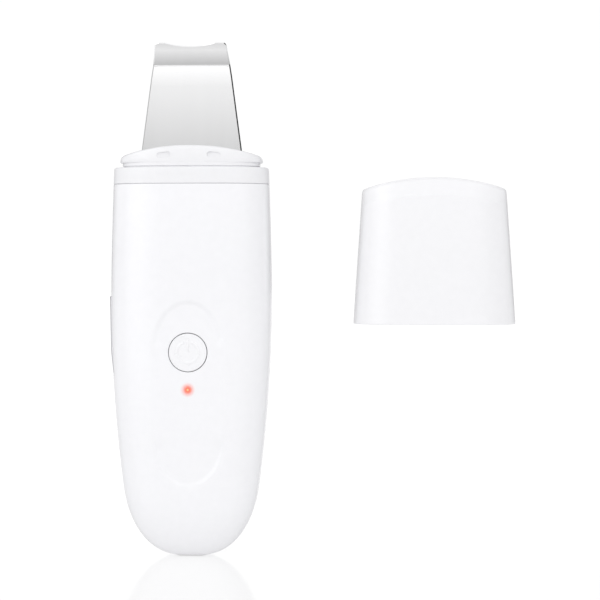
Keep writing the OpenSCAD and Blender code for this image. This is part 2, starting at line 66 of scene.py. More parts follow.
# thumb dish, button and status light
DISH_W, DISH_H, DISH_Z = 23.2, 59.8, -13.1
DISH_DEPTH, DISH_EDGE = 0.45, 1.3
DISH_END, DISH_FADE = 16.0, 0.25         # length of a round end, and its share that fades in
BUTTON_R, BUTTON_GAP, BUTTON_FACE = 6.0, 0.25, -10.65
FLANGE_R, FLANGE_Y, FLANGE_T = 7.35, -8.95, 1.25
LED_Z, LED_R = -11.8, 1.1
# touch plate on the left side; widths are half widths, front to back
TOUCH_Z, TOUCH_HALF = (-7.8, 17.5), 4.5
TOUCH_PROUD, TOUCH_SUNK, TOUCH_BOW = 0.5, 0.9, 13.0
TAPER_Z = -0.5                           # below this the plate slopes down to the shell
STUD_Z, STUD_R, STUD_LONG = 5.0, 1.25, 3.2
# charging port
PORT_Y, PORT_W, PORT_H = -0.37, 9.34, 3.66
USB_TOP, USB_FACE = -58.15, -65.5
# collar and dome, as half widths and half depths
COLLAR_H, GROOVE_H, DOME_RISE, CROWN_R = 5.3, 1.5, 7.0, 76.0
COLLAR_TOP = SEAM + COLLAR_H
LIP_Z = COLLAR_TOP + GROOVE_H
CROWN = COLLAR_TOP + DOME_RISE
DOME_W, DOME_D = 23.0, 8.4
SPIGOT_W, SPIGOT_D, SPIGOT_H = 20.4, 6.2, 1.6
BORE_W, BORE_D = 18.6, 4.6
WINDOW_X, WINDOW_Z = 8.0, CROWN - 3.2
# blade, as half widths and half thickness
BLADE_T, TIP_HALF, ROOT_HALF = 0.6, 11.7, 16.1
CREASE, TIP_RISE, TIP_DIP, TIP_CORNER = 92.1, 6.9, 1.1, 1.6
TIP_Z = CREASE + TIP_RISE
TIP_LEAN = math.tan(math.radians(30))
BLADE_SLOPE = (ROOT_HALF - TIP_HALF) / (TIP_Z - CROWN)
SHOULDER = COLLAR_TOP + 0.8
FOOT_Z, FOOT_HALF = 29.5, 15.0
# cap, as half widths and half depths at its mouth and at its top
CAP_W, CAP_TOP_W, CAP_D, CAP_TOP_D = 25.9, 23.0, 10.7, 9.2
CAP_H, CAP_WALL, CAP_X, CAP_Z = 46.6, 1.5, 78.0, 8.8
CAP_CROWN_R, CAP_BEVEL_H, CAP_BEVEL = 72.0, 5.6, 2.6
CAP_RIM, CAP_EDGE = 0.4, 0.55            # rounding at the mouth and round the top

ROUNDING = range(15, 91, 15)             # steps of a rounded edge, in degrees


# ---------------------------------------------------------------- shape functions
def smooth(t):
    """A smooth step from 0 to 1."""
    t = np.clip(t, 0, 1)
    return t * t * (3 - 2 * t)


def soft_min(a, b, soft):
    """The lower of a and b, with a small round where they meet."""
    h = np.clip(0.5 + (a - b) / (2 * soft), 0, 1)
    return a * (1 - h) + b * h - soft * h * (1 - h)


def line(z, z0, v0, z1, v1):
    """Value at z on the straight line through v0 at z0 and v1 at z1."""
    return v0 + (v1 - v0) * (z - z0) / (z1 - z0)


def arch(top, radius, x):
    """Height at x of an arc that has its top at x = 0."""
    return top - (radius - np.sqrt(radius**2 - x * x))


def steps(low, high, n):
    """n equal steps from low to high, without low itself."""
    return [low + (high - low) * k / n for k in range(1, n + 1)]


def turned(degrees):
    """Sine and cosine of each angle."""
    return [(math.sin(math.radians(a)), math.cos(math.radians(a))) for a in degrees]


def end_round(z, height, p, q):
    """Share of the full size that the rounded lower end has at a height."""
    u = np.clip(1 - (z + END) / height, 0, 1)
    return (1 - u**p) ** (1 / q)


def half_w(z):
    """Half the handle's width at a height."""
    upper = SIDE_DRAW * (np.maximum(z - WIDE_Z, 0) / (COLLAR_TOP - WIDE_Z)) ** 1.5
    lower = (WIDE_Z - z) ** 2 / (2 * SIDE_R)
    return (GRIP_W / 2 - np.where(z > WIDE_Z, upper, lower)) * end_round(z, END_H, 2.5, 2.75)


def depth(z):
    """Half the handle's depth at a height."""
    arc = z * z / (2 * np.where(z > 0, UPPER_R, FRONT_R))
    return (GRIP_D / 2 - arc) * end_round(z, END_SIDE_H, 2.4, 2.4)


def inner_w(z):
    return np.maximum(np.minimum(half_w(z) - WALL, half_w(z - WALL)), 0)


def inner_d(z):
    return np.maximum(np.minimum(depth(z) - WALL, depth(z - WALL)), 0)


def bow(x):
    """Height of the section's unit oval at x from -1 to 1."""
    return np.maximum(1 - np.abs(x) ** SQUARE, 0) ** (1 / SQUARE)


def dish(x, z):
    """Depth of the thumb dish."""
    beyond = np.maximum(0, np.abs(z - DISH_Z) - (DISH_H / 2 - DISH_END)) / DISH_END
    side = np.abs(x) / (DISH_W / 2)
    rim = smooth((1 - np.hypot(side, beyond)) * DISH_W / 2 / DISH_EDGE)
    return DISH_DEPTH * rim * (1 - side * side * (1 - smooth(beyond / DISH_FADE)))


def oval(w, d, m=64):
    """Points round a full section, starting at its left side and passing the front."""
    angles = np.radians(90 * np.arange(-m, m + 1) / m)
    x = np.sin(angles)
    front = np.column_stack([w * x, -d * bow(x)])
    back = np.column_stack([w * x[-2:0:-1], d * bow(x[-2:0:-1])])
    return np.vstack([front, back])


def level(points, z):
    """Lays an outline at a height, or at one height for each of its points."""
    return np.column_stack([points, np.full(len(points), z) if np.isscalar(z) else z])


def stadium(half_long, half_short, n=12):
    """Outline with fully round ends."""
    points = []
    for side, first in ((1, -90), (-1, 90)):
        for s, c in turned([first + 180 * k / n for k in range(n + 1)]):
            points.append((side * (half_long - half_short) + half_short * c, half_short * s))
    return np.array(points)


def round_ring(r, y, n, z=0.0):
    """A circle round an axis that runs from front to back."""
    turns = 2 * np.pi * np.arange(n) / n
    return np.column_stack([r * np.sin(turns), np.full(n, y), z + r * np.cos(turns)])


# ---------------------------------------------------------------- mesh helpers
class Net:
    """Vertices and faces gathered piece by piece, in millimetres."""

    def __init__(self):
        self.verts, self.faces = [], []

    def add(self, points):
        start = len(self.verts)
        self.verts.extend(tuple(float(c) for c in p) for p in np.atleast_2d(points))
        return list(range(start, len(self.verts)))

    def strip(self, a, b, closed=False):
        n = len(a)
        for i in range(n if closed else n - 1):
            j = (i + 1) % n
            self.faces.append((a[i], a[j], b[j], b[i]))

    def rings(self, rings, start=None, end=None, loop=False):
        """Joins closed rings of points; start and end are 'cap', 'point' or None."""
        ids = [self.add(r) for r in rings]
        for a, b in zip(ids, ids[1:]):
            self.strip(a, b, closed=True)
        if loop:
            self.strip(ids[-1], ids[0], closed=True)
        for how, ring in ((start, ids[0]), (end, ids[-1])):
            if how == "cap":
                self.faces.append(tuple(ring))
            elif how == "point":
                middle = self.add(np.mean([self.verts[i] for i in ring], axis=0))[0]
                for i in range(len(ring)):
                    self.faces.append((ring[i], ring[(i + 1) % len(ring)], middle))
        return ids

    def sheet(self, rows):
        """Joins open rows of points into a sheet and returns the loop round its edge."""
        ids = [self.add(r) for r in rows]
        for a, b in zip(ids, ids[1:]):
            self.strip(a, b)
        return (ids[0] + [r[-1] for r in ids[1:]] + ids[-1][-2::-1]
                + [r[0] for r in ids[-2:0:-1]])

    def merge(self, loop, onto):
        """Makes one loop of vertices out of two that lie in the same place."""
        same = dict(zip(loop, onto))
        faces = [[same.get(i, i) for i in f] for f in self.faces]
        used = sorted({i for f in faces for i in f})
        renumber = {old: new for new, old in enumerate(used)}
        self.verts = [self.verts[i] for i in used]
        self.faces = [tuple(renumber[i] for i in f) for f in faces]

    def close_arched(self, ring):
        """Closes a flattened, arched ring in strips from front to back."""
        n = len(ring)
        self.faces.append((ring[0], ring[1], ring[n - 1]))
        for i in range(1, n // 2 - 1):
            self.faces.append((ring[i], ring[i + 1], ring[n - i - 1], ring[n - i]))
        self.faces.append((ring[n // 2 - 1], ring[n // 2], ring[n // 2 + 1]))


def raw_object(name, net):
    mesh = bpy.data.meshes.new(name)
    mesh.from_pydata([(x * MM, y * MM, z * MM) for x, y, z in net.verts], [], net.faces)
    bm = bmesh.new()
    bm.from_mesh(mesh)
    bmesh.ops.recalc_face_normals(bm, faces=bm.faces)
    bm.to_mesh(mesh)
    bm.free()
    obj = bpy.data.objects.new(name, mesh)
    bpy.context.scene.collection.objects.link(obj)
    return obj


def cut_with(obj, cutters):
    """Cuts the cutters out of obj and removes them."""
    for cutter in cutters:
        modifier = obj.modifiers.new("cut", "BOOLEAN")
        modifier.operation, modifier.solver, modifier.object = "DIFFERENCE", "EXACT", cutter
        bpy.context.view_layer.update()
        done = bpy.data.meshes.new_from_object(
            obj.evaluated_get(bpy.context.evaluated_depsgraph_get()))
        obj.modifiers.clear()
        old, obj.data = obj.data, done
        bpy.data.meshes.remove(old)
        bpy.data.objects.remove(cutter)


def piece(name, net, material, body, nodes=(), sharp=38, cutters=()):
    """A finished piece of the object: it rides on a body and may stand for CAD nodes."""
    obj = raw_object(name, net)
    cut_with(obj, cutters)
    obj.data.shade_smooth()
    obj.data.set_sharp_from_angle(angle=math.radians(sharp))
    obj.data.materials.clear()
    obj.data.materials.append(material)
    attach(obj, body)
    if nodes:
        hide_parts(*nodes)


# ---------------------------------------------------------------- shader node helpers
def plug(tree, node, inputs):
    """Sets a node's inputs, by name or number, to values or to other nodes' outputs."""
    for key, value in inputs.items():
        socket = node.inputs[key.replace("_", " ") if isinstance(key, str) else key]
        if isinstance(value, bpy.types.NodeSocket):
            tree.links.new(value, socket)
        else:
            socket.default_value = value


def add_node(tree, kind, settings=None, **inputs):
    made = tree.nodes.new("ShaderNode" + kind)
    for name, value in (settings or {}).items():
        setattr(made, name, value)
    plug(tree, made, inputs)
    return made


def colour_ramp(tree, value, stops):
    """Colours that follow a value; each stop is a position and a colour."""
    made = add_node(tree, "ValToRGB", Fac=value)
    elements = made.color_ramp.elements
    for k in (0, -1):
        elements[k].position = stops[k][0]
        elements[k].color = (*stops[k][1], 1)
    for position, colour in stops[1:-1]:
        elements.new(position).color = (*colour, 1)
    return made.outputs["Color"]


def place_in(tree):
    return add_node(tree, "TexCoord").outputs["Object"]


def distance_from(tree, centre, scale=(1, 1, 1)):
    """Distance in metres from a point of the object; a scale of 0 leaves an axis out."""
    shift = add_node(tree, "Mapping", Vector=place_in(tree), Scale=scale,
                     Location=[-c * s for c, s in zip(centre, scale)])
    length = add_node(tree, "VectorMath", {"operation": "LENGTH"})
    plug(tree, length, {0: shift.outputs["Vector"]})
    return length.outputs["Value"]


def mix_base(material, factor, other, blend="MIX"):
    """Mixes another colour into a material's base colour."""
    tree = material.node_tree
    base = tree.nodes["Principled BSDF"].inputs["Base Color"]
    mix = add_node(tree, "Mix", {"data_type": "RGBA", "blend_type": blend}, Factor=factor,
                   A=base.links[0].from_socket, B=other)
    tree.links.new(mix.outputs["Result"], base)


# ---------------------------------------------------------------- materials
def finish(name, colour, rough, metal=0.0, vary=0.02, grain=700.0, bump=0.03, stretch=(1, 1, 1),
           rough_vary=0.04, **sockets):
    """A material with fine colour, roughness and relief variation."""
    material = bpy.data.materials.new(name)
    material.use_nodes = True
    tree = material.node_tree
    mapping = add_node(tree, "Mapping", Vector=place_in(tree), Scale=stretch)
    noise = add_node(tree, "TexNoise", Vector=mapping.outputs["Vector"], Scale=grain,
                     Detail=4.0).outputs["Fac"]
    tone = colour_ramp(tree, noise, ((0.3, [c * (1 - vary) for c in colour]),
                                     (0.7, [min(1, c * (1 + vary)) for c in colour])))
    spread = add_node(tree, "MapRange", Value=noise, To_Min=max(0.02, rough - rough_vary),
                      To_Max=min(1, rough + rough_vary))
    relief = add_node(tree, "Bump", Height=noise, Strength=bump, Distance=0.0002)
    plug(tree, tree.nodes["Principled BSDF"],
         {"Base Color": tone, "Roughness": spread.outputs["Result"],
          "Normal": relief.outputs["Normal"], "Metallic": metal, **sockets})
    return material


WHITE = (0.872, 0.872, 0.895)
shell_white = finish("gloss_white_shell", WHITE, 0.22, vary=0.008, grain=420, bump=0.02,
                     rough_vary=0.03, IOR=1.46, Coat_Weight=0.25, Coat_Roughness=0.08)
back_white = finish("satin_white_back", WHITE, 0.3, vary=0.008, grain=420, bump=0.03, IOR=1.46)
collar_white = finish("satin_white_collar", (0.826, 0.826, 0.846), 0.3, vary=0.01, grain=520,
                      bump=0.03, IOR=1.46)
dome_white = finish("gloss_white_dome", (0.842, 0.842, 0.862), 0.24, vary=0.008, grain=420,
                    bump=0.02, IOR=1.46, Coat_Weight=0.2, Coat_Roughness=0.08)
cap_white = finish("gloss_white_cap", (0.862, 0.861, 0.88), 0.2, vary=0.008, grain=420,
                   bump=0.02, IOR=1.46, Coat_Weight=0.25, Coat_Roughness=0.06)
button_white = finish("satin_white_button", (0.87, 0.87, 0.89), 0.28, vary=0.008, grain=520,
                      bump=0.02, IOR=1.46)
# the button ring is a real trim part deep in the button's gap; its dark grey is painted shade for the
# gap's shadow line
ring_grey = finish("ring_grey", (0.34, 0.34, 0.35), 0.45, vary=0.1, bump=0.05)
steel = finish("polished_steel_blade", (0.86, 0.86, 0.865), 0.1, metal=1.0, vary=0.012,
               grain=260, bump=0.008, stretch=(1, 1, 0.05), rough_vary=0.02)
screw_steel = finish("screw_steel", (0.55, 0.55, 0.57), 0.32, metal=1.0, vary=0.06, bump=0.05)
contact_metal = finish("satin_contact_metal", (0.56, 0.56, 0.58), 0.34, metal=1.0, vary=0.03,
                       grain=500, bump=0.03, stretch=(1, 1, 0.1))
led_red = finish("lit_red_lens", (0.9, 0.12, 0.08), 0.2, vary=0.03, bump=0.02, IOR=1.5)


def add_painted_led_glow():
    """Painted light: the lit status light's red glow is painted into the plastic's base colour round
    it.
    """
    tree = shell_white.node_tree
    away = distance_from(tree, (0.0, -10.5 * MM, LED_Z * MM))
    glow = add_node(tree, "MapRange", {"interpolation_type": "SMOOTHERSTEP"}, Value=away,
                    From_Min=0.7 * MM, From_Max=2.8 * MM, To_Min=0.62, To_Max=0.0)
    # painted red glow, mixed into the shell's base colour near the status light
    mix_base(shell_white, glow.outputs["Result"], (0.95, 0.17, 0.11, 1))


def add_painted_tip_shade():
    """Painted highlight and shade: the blade's base colour is made lightest just under the crease and
    half-way up the tip, and darkest just above the crease, standing in for its changing reflection."""
    tree = steel.node_tree
    place = add_node(tree, "SeparateXYZ", Vector=place_in(tree))
    share = add_node(tree, "MapRange", Value=place.outputs["Z"],
                     From_Min=(CREASE - TIP_RISE) * MM, From_Max=(CREASE + TIP_RISE) * MM)
    stops = ((0.0, 1.0), (0.49, 1.16), (0.5, 0.74), (0.82, 1.16), (1.0, 1.0))
    shade = colour_ramp(tree, share.outputs["Result"], [(p, (v, v, v)) for p, v in stops])
    # painted highlight and shade, multiplied into the blade's base colour
    mix_base(steel, 1.0, shade, "MULTIPLY")


def add_led_core():
    """The lens shines yellow-red in its middle, deep red round it and pale at its edge."""
    tree = led_red.node_tree
    away = distance_from(tree, (0, 0, LED_Z * MM), (1, 0, 1))
    share = add_node(tree, "MapRange", Value=away, From_Max=LED_R * MM)
    core = colour_ramp(tree, share.outputs["Result"],
                       ((0.0, (1.0, 0.72, 0.34)), (0.5, (1.0, 0.06, 0.03)), (1.0, (1.0, 0.34, 0.28))))
    plug(tree, tree.nodes["Principled BSDF"], {"Emission_Color": core, "Emission_Strength": 0.85})


add_painted_led_glow()
add_painted_tip_shade()
add_led_core()

# Inner parts keep their CAD shape: nodes, colour, roughness and metal of each material
INNER = {
    "brass_leaf": (("contact_leaf",), (0.75, 0.55, 0.22), 0.3, 1.0),
    "copper_winding": (("transformer_winding",), (0.72, 0.3, 0.12), 0.35, 1.0),
    "grey_silicone": (("blade_gasket", "blade_pads"), (0.6, 0.6, 0.62), 0.55, 0.0),
    "black_foam": (("battery_pad",), (0.03, 0.03, 0.03), 0.9, 0.0),
    "red_wire": (("battery_leads", "piezo_leads"), (0.5, 0.02, 0.02), 0.4, 0.0),
    "piezo_ceramic": (("piezo_disc",), (0.55, 0.5, 0.38), 0.5, 0.0),
    "dark_ferrite": (("transformer_core", "power_inductor"), (0.06, 0.06, 0.065), 0.55, 0.0),
    "tan_capacitor": (("capacitors",), (0.5, 0.33, 0.18), 0.4, 0.0),
    "grey_nylon": (("blade_carrier", "blade_clamp"), (0.09, 0.09, 0.1), 0.5, 0.0),
    "green_board": (("main_board",), (0.01, 0.13, 0.05), 0.35, 0.0),
    "black_plastic": (("tact_switch", "switch_plunger", "usb_tongue", "control_chips"),
                      (0.02, 0.02, 0.022), 0.45, 0.0),
    "led_resin": (("status_led",), (0.85, 0.8, 0.5), 0.25, 0.0),
    "battery_foil": (("battery",), (0.6, 0.61, 0.63), 0.38, 0.8),
    "ivory_plug": (("battery_plug",), (0.8, 0.76, 0.62), 0.5, 0.0),
}


def refinish(node, material):
    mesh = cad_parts[node].data
    mesh.materials.clear()
    mesh.materials.append(material)


for name, (nodes, colour, rough, metal) in INNER.items():
    stretch = (1, 1, 14) if name == "copper_winding" else (1, 1, 1)
    shade = finish(name, colour, rough, metal=metal, vary=0.12, grain=900, bump=0.08,
                   stretch=stretch)
    for node in nodes:
        refinish(node, shade)
for node in ("collar_screws", "clamp_screws", "board_screws"):
    refinish(node, screw_steel)
# the button ring's dark grey is painted shade that darkens the gap round the button
refinish("button_ring", ring_grey)

# ---------------------------------------------------------------- shells
GROOVE = 0.2                       # V-groove at the shells' parting line
SEAM_CUT, SEAM_LIP = 0.32, 0.11    # depth and half height of the groove under the collar
HOLE_LIP = 0.1                     # rounding of the holes for the button and the light
BACK_BLEND = 0.35                  # round between the back's curve and its flat land
TOUCH_GAP = 0.08
SOCKET_Z = (TOUCH_Z[0] - TOUCH_GAP, TOUCH_Z[1] + TOUCH_GAP)
SOCKET_HALF = TOUCH_HALF + TOUCH_GAP
SOCKET_COLS = 11                   # columns from the split to the socket's edge
# heights that the round patch of each hole fills, and its reach in columns
BUTTON_PATCH, BUTTON_REACH = (-8.5, 8.5), 14
LED_PATCH, LED_REACH = (-14.2, -9.4), 4

# Columns, as shares of the half width and of the section's height there. They turn evenly
# to the socket's edge and on to the side, and end in the parting line's groove.
edge_angle = math.asin((1 - (SOCKET_HALF / depth(STUD_Z)) ** SQUARE) ** (1 / SQUARE))
side_angles = steps(0, edge_angle, 54) + steps(edge_angle, math.pi / 2, 10)[:-1]
right_cols = [(math.sin(a), float(bow(math.sin(a)))) for a in side_angles]
right_cols += [(1.0, GROOVE / (GRIP_D / 2)), (1 - GROOVE / (GRIP_W / 2), 0.0)]
COLS = [(-x, b) for x, b in reversed(right_cols)] + [(0.0, 1.0)] + right_cols
COL_X, COL_B = np.array(COLS).T
MIDDLE = len(COLS) // 2

# Rows, closer towards the lower end, with one at each edge of a patch and of the socket
ROWS = np.array(
    [END_H * (k / 48) ** 2.75 - END for k in range(1, 49)]
    + steps(END_H - END, LED_PATCH[0], 56) + steps(*LED_PATCH, 10)
    + [(LED_PATCH[1] + BUTTON_PATCH[0]) / 2, BUTTON_PATCH[0], SOCKET_Z[0]]
    + steps(SOCKET_Z[0], BUTTON_PATCH[1], 33) + steps(BUTTON_PATCH[1], SOCKET_Z[1], 18)
    + steps(SOCKET_Z[1], SEAM - SEAM_LIP, 36) + [SEAM])


def rows_at(heights):
    return [int(np.argmin(np.abs(ROWS - z))) for z in heights]


def hole(patch, reach, centre, radius):
    """A round hole, with the block of rows and columns that its patch fills."""
    return (*rows_at(patch), MIDDLE - reach, MIDDLE + reach), centre, radius


SOCKET_ROWS = rows_at(SOCKET_Z)
HOLES = [hole(BUTTON_PATCH, BUTTON_REACH, 0.0, BUTTON_R + BUTTON_GAP),
         hole(LED_PATCH, LED_REACH, LED_Z, LED_R + 0.05)]


def front_y(x, z, across=None):
    across = bow(x / half_w(z)) if across is None else across
    return dish(x, z) - depth(z) * across


def back_y(x, z, across=None):
    across = bow(x / half_w(z)) if across is None else across
    return soft_min(BACK_Y, depth(z) * across, BACK_BLEND)


def front_inner_y(x, z, across=None):
    w = np.maximum(inner_w(z), 1e-6)
    across = bow(np.clip(x / w, -1, 1)) if across is None else across
    return -inner_d(z) * across


def back_inner_y(x, z, across=None):
    return np.minimum(-front_inner_y(x, z, across), BACK_Y - WALL)


def shell_grid(net, y_at, inner):
    """Rows of points over a shell's outer or inner surface, closed at the lower end."""
    grid = []
    lift = WALL * (1 - smooth((ROWS + END - WALL) / 20)) if inner else 0
    for z in ROWS + lift:
        cut = SEAM_CUT if z == SEAM and not inner else 0
        x = (inner_w(z) if inner else half_w(z) - cut) * COL_X
        heights = np.full(len(x), z)
        y = y_at(x, heights, COL_B) * (1 - cut / depth(z))
        grid.append(net.add(np.column_stack([x, y, heights])))
    pole = net.add([[0, 0, WALL - END if inner else -END]])[0]
    for j in range(len(COLS) - 1):
        net.faces.append((pole, grid[0][j + 1], grid[0][j]))
    return grid, pole


def round_hole(net, grid, block, centre, radius, lip, y_at):
    """Leads a block of the grid into a round hole and returns the hole's last ring."""
    r0, r1, c0, c1 = block
    border = [grid[r0][c] for c in range(c0, c1)] + [grid[r][c1] for r in range(r0, r1)]
    border += [grid[r1][c] for c in range(c1, c0, -1)]
    border += [grid[r][c0] for r in range(r1, r0, -1)]
    at = np.array([(net.verts[i][0], net.verts[i][2]) for i in border])
    angle = np.arctan2(at[:, 1] - centre, at[:, 0])
    around = np.column_stack([np.cos(angle), np.sin(angle)])

    def ring(points, sink=0.0):
        y = y_at(points[:, 0], points[:, 1]) + sink
        return net.add(np.column_stack([points[:, 0], y, points[:, 1]]))

    middle = np.array([0, centre])
    rim = around * (radius + lip) + middle
    rings = [border] + [ring(rim * (1 - t) + at * t)
                        for t in (0.8, 0.6, 0.42, 0.26, 0.13, 0.05, 0.0)]
    for s, c in turned((22.5, 45, 67.5, 90) if lip else ()):
        rings.append(ring(around * (radius + lip * (1 - s)) + middle, lip * (1 - c)))
    for a, b in zip(rings, rings[1:]):
        net.strip(a, b, closed=True)
    return rings[-1]


def touch_socket(net, grid):
    """Sinks the touch plate's socket into the left side and returns its floor's rows."""
    r0, r1 = SOCKET_ROWS
    floor = {}
    for r in range(r0, r1 + 1):
        points = np.array([net.verts[i] for i in grid[r][:SOCKET_COLS + 1]])
        points[:, 0] += TOUCH_SUNK + TOUCH_GAP
        points[0, 0] -= GROOVE
        floor[r] = net.add(points)
    for r in range(r0, r1):
        net.strip(floor[r], floor[r + 1])
    net.strip([grid[r][SOCKET_COLS] for r in floor], [row[SOCKET_COLS] for row in floor.values()])
    for r in (r0, r1):
        net.strip(grid[r][:SOCKET_COLS + 1], floor[r])
    return floor


def shell_surface(net, y_at, holes, inner):
    """One surface of a shell. Returns its grid, its pole, its holes and the socket's floor."""
    grid, pole = shell_grid(net, y_at, inner)
    lip = 0 if inner else HOLE_LIP
    rims = [round_hole(net, grid, block, centre, radius, lip, y_at)
            for block, centre, radius in holes]
    blocks = [block for block, _, _ in holes]
    floor = None
    if not inner:
        blocks.append((*SOCKET_ROWS, 0, SOCKET_COLS))
        floor = touch_socket(net, grid)
    skip = {(r, c) for r0, r1, c0, c1 in blocks for r in range(r0, r1) for c in range(c0, c1)}
    for r in range(len(grid) - 1):
        for c in range(len(COLS) - 1):
            if (r, c) not in skip:
                net.faces.append((grid[r][c], grid[r][c + 1], grid[r + 1][c + 1],
                                  grid[r + 1][c]))
    return grid, pole, rims, floor


def shell(outer_y, inner_y, holes):
    """One half of the handle: outer surface, inner surface and the rims that join them."""
    net = Net()
    outer, outer_pole, outer_rims, floor = shell_surface(net, outer_y, holes, inner=False)
    inner, inner_pole, inner_rims, _ = shell_surface(net, inner_y, holes, inner=True)
    for a, b in zip(outer_rims, inner_rims):
        net.strip(a, b, closed=True)
    net.strip(outer[-1], inner[-1])
    net.strip([outer_pole] + [g[-1] for g in outer], [inner_pole] + [g[-1] for g in inner])
    net.faces.append((outer_pole, outer[0][0], inner[0][0], inner_pole))
    # the left rim steps down to the socket's floor and back
    r0, r1 = SOCKET_ROWS
    for r in range(len(outer) - 1):
        a, b = (floor[r], floor[r + 1]) if r0 <= r < r1 else (outer[r], outer[r + 1])
        rim = [a[0], b[0]]
        if r + 1 == r0:
            rim.append(floor[r0][0])
        elif r == r1:
            rim.insert(0, floor[r1][0])
        net.faces.append((*rim, inner[r + 1][0], inner[r][0]))
    return net


def port_cutter(name):
    """The charging port's opening, cut through the lower end of both shells."""
    net = Net()
    outline = stadium(PORT_W / 2, PORT_H / 2) + np.array([0, PORT_Y])
    net.rings([level(outline, z) for z in (-70, -62)], start="cap", end="cap")
    return raw_object(name, net)


piece("front_shell_skin", shell(front_y, front_inner_y, HOLES), shell_white, "handle_body",
      ["front_shell"], cutters=[port_cutter("port_front")])
piece("back_shell_skin", shell(back_y, back_inner_y, []), back_white, "handle_body",
      ["back_shell"], cutters=[port_cutter("port_back")])

# ---------------------------------------------------------------- touch plate
PLATE_EDGE = [0, 0.03, 0.08, 0.15, 0.25]     # steps into the plate across its rounded edge


def between(low, high, n):
    """Places from low to high that crowd at both ends, where the edges are rounded."""
    inside = steps(low + PLATE_EDGE[-1], high - PLATE_EDGE[-1], n)[:-1]
    return np.array([low + e for e in PLATE_EDGE] + inside
                    + [high - e for e in reversed(PLATE_EDGE)])


def plate_reach(z, sunk):
    """How far left the plate's outer or sunken face stands at a height."""
    foot, knee, head = (float(half_w(h)) for h in (TOUCH_Z[0], TAPER_Z, TOUCH_Z[1]))
    if sunk:
        return line(z, TOUCH_Z[0], foot, TOUCH_Z[1], head) - TOUCH_SUNK
    upper = line(z, TAPER_Z, knee + TOUCH_PROUD, TOUCH_Z[1], head + TOUCH_PROUD)
    lower = line(z, TOUCH_Z[0], foot, TAPER_Z, knee + TOUCH_PROUD)
    # the two meet in a small round
    return min(upper, lower) - 0.06 * math.exp(-abs(upper - lower) / 0.1)


def touch_plate():
    """The plate's outer and sunken faces, and the stud behind it."""
    net = Net()
    y = between(-TOUCH_HALF, TOUCH_HALF, 20)
    r = PLATE_EDGE[-1]
    loops = []
    for sunk in (False, True):
        rows = []
        for z in between(*TOUCH_Z, 40):
            edge = np.minimum(TOUCH_HALF - np.abs(y), min(z - TOUCH_Z[0], TOUCH_Z[1] - z))
            drop = r - np.sqrt(np.maximum(0, r * r - np.maximum(0, r - edge) ** 2))
            x = TOUCH_BOW - plate_reach(z, sunk) - np.sqrt(TOUCH_BOW**2 - y**2)
            rows.append(level(np.column_stack([x if sunk else x + drop, y]), z))
        loops.append(net.sheet(rows))
    net.strip(*loops, closed=True)
    stud_x = 0.4 - float(half_w(STUD_Z))
    circle = turned([360 * k / 32 for k in range(32)])
    net.rings([[(stud_x + x, STUD_R * c, STUD_Z + STUD_R * s) for s, c in circle]
               for x in (0.0, STUD_LONG)], start="cap", end="cap")
    return net


piece("side_contact_skin", touch_plate(), contact_metal, "handle_body", ["side_contact"])


# ---------------------------------------------------------------- collar
def collar():
    """The ring between shells and dome, up its outside and down through its inside."""
    edge, edge_in, ledge = 0.6, 0.65, SEAM + 2.2
    foot_w, foot_d = float(half_w(COLLAR_TOP)) - 2.4, float(depth(COLLAR_TOP)) - 2.2

    def outside(z, inset):
        return level(oval(float(half_w(z)) - inset, float(depth(z)) - inset), z)

    rings = [outside(SEAM, SEAM_CUT)]
    rings += [outside(z, 0) for z in np.linspace(SEAM + SEAM_LIP, COLLAR_TOP - edge, 6)]
    rings += [outside(COLLAR_TOP - edge + edge * s, edge_in * (1 - c))
              for s, c in turned(ROUNDING)]
    for w, d, z in ((SPIGOT_W, SPIGOT_D, COLLAR_TOP), (SPIGOT_W, SPIGOT_D, COLLAR_TOP + SPIGOT_H),
                    (BORE_W, BORE_D, COLLAR_TOP + SPIGOT_H), (BORE_W, BORE_D, ledge),
                    (foot_w, foot_d, ledge), (foot_w, foot_d, SEAM)):
        rings.append(level(oval(w, d), z))
    net = Net()
    net.rings(rings, loop=True)
    return net


piece("collar_skin", collar(), collar_white, "handle_body", ["neck_collar"])

# ---------------------------------------------------------------- dome
DOME_EDGE, LIP_EDGE = 1.1, 0.2     # rounding at the dome's top and under its lip


def blade_slot():
    """Outline of the blade's slot, with a point for each point of an oval."""
    half_x, half_y, corner = 17.9, 1.7, 78.75
    x, y = oval(1, 1).T
    turn = np.degrees(np.arcsin(np.clip(x, -1, 1)))
    end = np.abs(turn) >= corner
    slot_x = np.where(end, half_x * np.sign(turn), half_x * turn / corner)
    slot_y = np.where(end, half_y * (90 - np.abs(turn)) / (90 - corner), half_y)
    return np.column_stack([slot_x, np.where(y > 1e-9, 1.0, -1.0) * slot_y])


